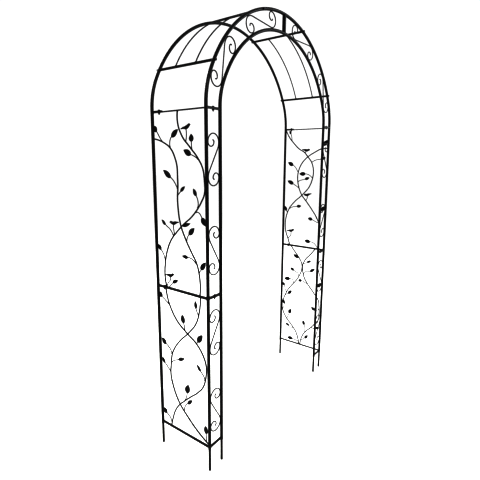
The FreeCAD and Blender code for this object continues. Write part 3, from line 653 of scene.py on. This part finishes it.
def threadTree():
    # a rolled thread: a three-sided profile that follows a spiral
    tree = bpy.data.node_groups.new("threadTree", "GeometryNodeTree")
    face = tree.interface
    for name in ("Radius", "Depth", "Pitch", "Length"):
        face.new_socket(name, in_out="INPUT", socket_type="NodeSocketFloat")
    face.new_socket("Geometry", in_out="OUTPUT", socket_type="NodeSocketGeometry")
    given = tree.nodes.new("NodeGroupInput")
    result = tree.nodes.new("NodeGroupOutput")
    turns = addNode(tree, "ShaderNodeMath", operation="DIVIDE")
    link(tree, given.outputs["Length"], turns.inputs[0])
    link(tree, given.outputs["Pitch"], turns.inputs[1])
    spiral = tree.nodes.new("GeometryNodeCurveSpiral")
    spiral.inputs["Resolution"].default_value = 20
    link(tree, turns.outputs[0], spiral.inputs["Rotations"])
    link(tree, given.outputs["Radius"], spiral.inputs["Start Radius"])
    link(tree, given.outputs["Radius"], spiral.inputs["End Radius"])
    link(tree, given.outputs["Length"], spiral.inputs["Height"])
    profile = tree.nodes.new("GeometryNodeCurvePrimitiveCircle")
    profile.inputs["Resolution"].default_value = 4
    link(tree, given.outputs["Depth"], profile.inputs["Radius"])
    thread = tree.nodes.new("GeometryNodeCurveToMesh")
    thread.inputs["Fill Caps"].default_value = True
    link(tree, spiral.outputs["Curve"], thread.inputs["Curve"])
    link(tree, profile.outputs["Curve"], thread.inputs["Profile Curve"])
    real = tree.nodes.new("GeometryNodeRealizeInstances")
    link(tree, thread.outputs["Mesh"], real.inputs["Geometry"])
    painted = tree.nodes.new("GeometryNodeSetMaterial")
    painted.inputs["Material"].default_value = boltCoat
    link(tree, real.outputs["Geometry"], painted.inputs["Geometry"])
    link(tree, painted.outputs["Geometry"], result.inputs["Geometry"])
    return tree


def makeThread():
    holder = newPiece("threadHolder", bpy.data.meshes.new("threadHolder"))
    tree = threadTree()
    modifier = holder.modifiers.new("thread", "NODES")
    modifier.node_group = tree
    wanted = {"Radius": bolt["shank"] - bolt["threadDepth"] * 0.9, "Depth": bolt["threadDepth"],
              "Pitch": bolt["pitch"], "Length": bolt["threadLength"] - 0.0012}
    for socket in tree.interface.items_tree:
        if socket.in_out == "INPUT":
            modifier[socket.identifier] = wanted[socket.name]
    bpy.context.view_layer.update()
    mesh = bpy.data.meshes.new_from_object(holder.evaluated_get(bpy.context.evaluated_depsgraph_get()))
    holder.modifiers.remove(modifier)
    bpy.data.objects.remove(holder)
    mesh.transform(Matrix.Translation((0, 0, bolt["length"] - bolt["threadLength"])))
    return mesh


def roundBar(bm, radius, low, high, tip=0.0, steps=24):
    previous = None
    levels = [(low, radius), (high - tip, radius)] + ([(high, radius - tip)] if tip else [])
    for height, reach in levels:
        ring = [bm.verts.new((reach * math.cos(a), reach * math.sin(a), height))
                for a in (2 * math.pi * k / steps for k in range(steps))]
        if previous:
            for k in range(steps):
                bm.faces.new((previous[k], previous[(k + 1) % steps], ring[(k + 1) % steps], ring[k]))
        else:
            bm.faces.new(list(reversed(ring)))
        previous = ring
    bm.faces.new(previous)


def makeBoltShape():
    # seat at the origin, shank along +Z, head behind it
    bm = bmesh.new()
    hexShape(bm, -bolt["head"], 0, True, False)
    core = bolt["shank"] - bolt["threadDepth"] * 0.9
    roundBar(bm, bolt["shank"], 0, bolt["length"] - bolt["threadLength"])
    roundBar(bm, core, bolt["length"] - bolt["threadLength"] - 0.0005, bolt["length"], 0.0006)
    bm.from_mesh(makeThread())
    bmesh.ops.recalc_face_normals(bm, faces=bm.faces)
    mesh = bpy.data.meshes.new("boltShape")
    bm.to_mesh(mesh)
    bm.free()
    shadeSmooth(mesh, 30)
    return newPiece("boltShape", mesh)


def makeNutShape():
    bm = bmesh.new()
    hexShape(bm, 0, bolt["nut"], False, True)
    bmesh.ops.recalc_face_normals(bm, faces=bm.faces)
    mesh = bpy.data.meshes.new("nutShape")
    bm.to_mesh(mesh)
    bm.free()
    shadeSmooth(mesh, 30)
    return newPiece("nutShape", mesh)


def boltAim(points):
    # where one bolt's head seats and which way it points: the head is the wider end
    low = Vector(min(p[i] for p in points) for i in range(3))
    high = Vector(max(p[i] for p in points) for i in range(3))
    axis = max(range(3), key=lambda i: high[i] - low[i])
    across = [i for i in range(3) if i != axis]
    start = (low + high) / 2
    lowWide = max(math.dist([p[i] for i in across], [start[i] for i in across])
                  for p in points if p[axis] < low[axis] + bolt["endDepth"])
    aim = Vector([1.0 if i == axis else 0.0 for i in range(3)])
    if lowWide > bolt["shank"] * 1.2:
        start[axis] = low[axis] + bolt["head"]
    else:
        aim = -aim
        start[axis] = high[axis] - bolt["head"]
    return start, aim


boltShape, nutShape = makeBoltShape(), makeNutShape()
boltPlaces = [boltAim(points) for points in islandsOf("joint_bolts")]
nutCentres = []
for points in islandsOf("joint_nuts"):
    nutCentres.append(sum(points, Vector()) / len(points))


def turnTo(aim, spin):
    return aim.to_track_quat("Z", "Y").to_matrix() @ Matrix.Rotation(spin, 3, "Z")


boltSpots = [(start, turnTo(aim, 0), Vector((1, 1, 1))) for start, aim in boltPlaces]
piece = placeCopies("jointBoltSet", boltShape, boltSpots, boltCoat, {"seed": 6})
finishPiece(piece, ["joint_bolts"])
nutSpots = []
for centre in nutCentres:
    start, aim = min(boltPlaces, key=lambda place: (place[0] - centre).length)
    nutSpots.append((centre - aim * bolt["nut"] / 2, turnTo(aim, 0), Vector((1, 1, 1))))
piece = placeCopies("jointNutSet", nutShape, nutSpots, boltCoat, {"seed": 7})
finishPiece(piece, ["joint_nuts"])
for shape in (boltShape, nutShape):
    bpy.data.objects.remove(shape)
print("bolts and nuts made:", len(boltSpots), len(nutSpots))


# weld beads: lumps where rods were welded on, and seams over and under each flat bar's end

bead = {
    "lumps": 0.26,         # how uneven a lump is
    "reach": 0.0007,       # surfaces closer than this are welded
    "spread": 0.011,       # contacts closer than this share one lump
    "seam": 0.2,           # thickness of a seam, as a share of the tube's radius
    "seamTurn": 47,        # degrees a seam goes round the tube to each side
    "seamUneven": 0.04,
    "lumpUneven": 0.14,
    # half sizes of the lumps along X, Y and Z
    "scrollPost": (0.0036, 0.0034, 0.0052),
    "scrollRail": (0.0044, 0.0034, 0.0034),
    "stemRail": (0.0048, 0.0050, 0.0030),
    "stemPost": (0.0042, 0.0036, 0.0054),
    "stalkStem": (0.0032, 0.0032, 0.0032),
    "stemStem": (0.0036, 0.0046, 0.0052),
    "scrollRing": (0.0044, 0.0034, 0.0044),
    "scrollBar": (0.0040, 0.0034, 0.0040),
    "wireBar": (0.0042, 0.0044, 0.0042),
    "barRing": (0.0066, 0.0042, 0.0066),
}


def makeBeadShape():
    bm = bmesh.new()
    bmesh.ops.create_icosphere(bm, subdivisions=3, radius=1.0)
    for vert in bm.verts:
        push = noise.noise(vert.co * 1.7 + Vector((3, 1, 7))) + 0.5 * noise.noise(vert.co * 4.1)
        vert.co *= 1 + bead["lumps"] * push
    mesh = bpy.data.meshes.new("beadShape")
    bm.to_mesh(mesh)
    bm.free()
    shadeSmooth(mesh, 180)
    return newPiece("beadShape", mesh)


def makeSeamShape():
    # a rippled bead round part of a tube of unit radius, in the plane of X and Y
    bm = bmesh.new()
    steps, around, spread = 26, 10, math.radians(bead["seamTurn"])
    previous = None
    for i in range(steps + 1):
        angle = -spread + 2 * spread * i / steps
        ripple = 1 + 0.16 * math.sin(i * 1.9) + 0.1 * noise.noise(Vector((i * 0.7, 2, 5)))
        ends = min(1.0, 0.35 + 3.0 * min(i, steps - i) / steps)
        radial = Vector((math.cos(angle), math.sin(angle), 0))
        ring = []
        for k in range(around):
            turn = 2 * math.pi * k / around
            out = radial * math.cos(turn) + Vector((0, 0, math.sin(turn)))
            ring.append(bm.verts.new(radial * 1.02 + out * bead["seam"] * ripple * ends))
        if previous:
            for k in range(around):
                bm.faces.new((previous[k], previous[(k + 1) % around], ring[(k + 1) % around], ring[k]))
        else:
            bm.faces.new(list(reversed(ring)))
        previous = ring
    bm.faces.new(previous)
    bmesh.ops.recalc_face_normals(bm, faces=bm.faces)
    mesh = bpy.data.meshes.new("seamShape")
    bm.to_mesh(mesh)
    bm.free()
    shadeSmooth(mesh, 180)
    return newPiece("seamShape", mesh)


def contacts(first, second, spread=bead["spread"]):
    # middles of the patches where the first node's surface touches the second's
    mesh = nodes[second].data
    surface = BVHTree.FromPolygons([v.co for v in mesh.vertices], [list(f.vertices) for f in mesh.polygons])
    close = []
    for vert in nodes[first].data.vertices:
        spot = surface.find_nearest(vert.co, bead["reach"])[0]
        if spot is not None:
            close.append(vert.co.copy())
    groups = []
    for point in close:
        joined = [group for group in groups if any((point - other).length < spread for other in group)]
        fresh = [point] + [p for group in joined for p in group]
        groups = [group for group in groups if group not in joined] + [fresh]
    return [(Vector([min(p[i] for p in group) for i in range(3)])
             + Vector([max(p[i] for p in group) for i in range(3)])) / 2 for group in groups]


def crossings(nodeName):
    # middles of the inner corners where the rods of one node run through each other
    bm = bmesh.new()
    bm.from_mesh(nodes[nodeName].data)
    bmesh.ops.remove_doubles(bm, verts=bm.verts, dist=1e-6)
    spots = []
    for edge in bm.edges:
        if edge.is_manifold and edge.calc_face_angle_signed(0) < -0.3:
            spots.append((edge.verts[0].co + edge.verts[1].co) / 2)
    bm.free()
    groups = []
    for point in sorted(spots, key=lambda p: p.z):
        home = next((group for group in groups if (group[0] - point).length < 0.03), None)
        if home:
            home.append(point)
        else:
            groups.append([point])
    return [sum(group, Vector()) / len(group) for group in groups if len(group) > 3]


def barFaces(nodeName):
    # heights of the lower and upper face of each flat bar in a node
    return [end(p.z for p in points) for points in islandsOf(nodeName) for end in (min, max)]


beadShape, seamShape = makeBeadShape(), makeSeamShape()
low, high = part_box("left_lower_back_post")
tubeRadius = (high.x - low.x) / 2


def lumps(first, second, radii):
    return [(spot, Matrix.Identity(3), Vector(radii)) for spot in contacts(first, second)]


for side, sign in (("left", -1), ("right", 1)):
    for level in ("lower", "upper"):
        tag = side + "_" + level
        axes = {spot: sum(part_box("%s_%s_post" % (tag, spot)), Vector()) / 2
                for spot in ("back", "outer", "inner")}
        # the faces where two sections lie on each other stay bare
        outerLow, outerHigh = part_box(tag + "_outer_post")
        bareFaces = [outerHigh.z] if level == "lower" else [outerLow.z, outerHigh.z]
        seams = []
        for kind, spot, towards in (("side", "back", (0, -1)), ("side", "outer", (0, 1)),
                                    ("front", "outer", (-sign, 0)), ("front", "inner", (sign, 0))):
            turn = Matrix.Rotation(math.atan2(towards[1], towards[0]), 3, "Z")
            for height in barFaces("%s_%s_rails" % (tag, kind)):
                if min(abs(height - bare) for bare in bareFaces) > 0.0005:
                    place = Vector((axes[spot].x, axes[spot].y, height))
                    seams.append((place, turn, Vector((tubeRadius, tubeRadius, tubeRadius))))
        blobs = []
        for spot in ("outer", "inner"):
            blobs += lumps(tag + "_scrolls", "%s_%s_post" % (tag, spot), bead["scrollPost"])
        blobs += lumps(tag + "_scrolls", tag + "_front_rails", bead["scrollRail"])
        blobs += lumps(tag + "_vines", tag + "_side_rails", bead["stemRail"])
        for spot in ("outer", "back"):
            blobs += lumps(tag + "_vines", "%s_%s_post" % (tag, spot), bead["stemPost"])
        blobs += lumps(tag + "_leaf_stalks", tag + "_vines", bead["stalkStem"])
        stems = len(blobs)
        blobs += [(spot, Matrix.Identity(3), Vector(bead["stemStem"])) for spot in crossings(tag + "_vines")]
        print("beads on", tag, len(seams), stems, len(blobs) - stems)
        finishPiece(placeCopies(tag + "_barSeams", seamShape, seams, beadCoat,
                                {"unevenness": bead["seamUneven"], "seed": 8}))
        finishPiece(placeCopies(tag + "_rodBeads", beadShape, blobs, beadCoat,
                                {"unevenness": bead["lumpUneven"], "seed": 9}))
    blobs = []
    for ring in ("outer", "inner"):
        blobs += lumps(side + "_arch_scrolls", "%s_%s_ring" % (side, ring), bead["scrollRing"])
    blobs += lumps(side + "_arch_scrolls", side + "_cross_bars", bead["scrollBar"])
    blobs += lumps(side + "_roof_wires", side + "_cross_bars", bead["wireBar"])
    for ring in ("outer", "inner", "back"):
        blobs += lumps(side + "_cross_bars", "%s_%s_ring" % (side, ring), bead["barRing"])
    print("beads on", side, "arch", len(blobs))
    finishPiece(placeCopies(side + "_archBeads", beadShape, blobs, beadCoat,
                            {"unevenness": bead["lumpUneven"], "seed": 10}))
for shape in (beadShape, seamShape):
    bpy.data.objects.remove(shape)


# camera and light

view = {
    "place": (-1.9846, -1.3512, 1.6029),
    "heading": 53.46,      # degrees from +Y towards +X
    "tilt": -10.57,
    "roll": 0.26,
    "lens": 28.94,
    "lift": -0.0152,
}
cameraData = bpy.data.cameras.new("camera")
cameraData.lens = view["lens"]
cameraData.sensor_width = 36
cameraData.shift_y = view["lift"]
cameraData.clip_end = 100
camera = bpy.data.objects.new("camera", cameraData)
bpy.context.scene.collection.objects.link(camera)
turnDown = Matrix.Rotation(math.radians(90 + view["tilt"]), 4, "X")
turnRound = Matrix.Rotation(math.radians(-view["heading"]), 4, "Z")
rollIn = Matrix.Rotation(math.radians(view["roll"]), 4, "Z")
camera.matrix_world = Matrix.Translation(view["place"]) @ turnRound @ turnDown @ rollIn
bpy.context.scene.camera = camera

studio = {
    "sky": (1.0, 1.0, 1.0),
    "skyPower": 1.08,
    "floorTone": (0.95, 0.95, 0.945),
    "floorReach": 40.0,
    "contrast": 0.45,      # under 1 deepens the blacks and leaves white alone
    # name: place, aim, width, power, warmth
    "lamps": {
        "key": ((-3.5, -4.0, 4.5), (0, 0, 1.2), 2.6, 260, (1.0, 0.98, 0.95)),
        "fill": ((4.5, -3.0, 3.0), (0, 0, 1.2), 3.0, 110, (0.94, 0.97, 1.0)),
        "rim": ((0.5, 4.5, 4.0), (0, 0, 1.4), 2.5, 150, (1.0, 1.0, 1.0)),
    },
}
world = bpy.data.worlds.new("studioSky")
world.use_nodes = True
world.node_tree.nodes["Background"].inputs["Color"].default_value = (*studio["sky"], 1)
world.node_tree.nodes["Background"].inputs["Strength"].default_value = studio["skyPower"]
bpy.context.scene.world = world
for name, (spot, aim, width, power, warmth) in studio["lamps"].items():
    lamp = bpy.data.lights.new(name, "AREA")
    lamp.shape = "DISK"
    lamp.size = width
    lamp.energy = power
    lamp.color = warmth
    holder = bpy.data.objects.new(name, lamp)
    holder.location = spot
    holder.rotation_euler = (Vector(aim) - Vector(spot)).to_track_quat("-Z", "Y").to_euler()
    bpy.context.scene.collection.objects.link(holder)

bm = bmesh.new()
bmesh.ops.create_circle(bm, cap_ends=True, segments=96, radius=studio["floorReach"])
floorMesh = bpy.data.meshes.new("floor")
bm.to_mesh(floorMesh)
bm.free()
floorPaint = bpy.data.materials.new("floorPaint")
floorPaint.use_nodes = True
floorShader = floorPaint.node_tree.nodes["Principled BSDF"]
floorShader.inputs["Base Color"].default_value = (*studio["floorTone"], 1)
floorShader.inputs["Roughness"].default_value = 0.8
floorShader.inputs["Specular IOR Level"].default_value = 0.2
floor = newPiece("floor", floorMesh, floorPaint)
floor.location.z = cadLow.z - 0.0005
viewSettings = bpy.context.scene.view_settings
viewSettings.view_transform = "Standard"
viewSettings.gamma = studio["contrast"]
print("camera and light set")
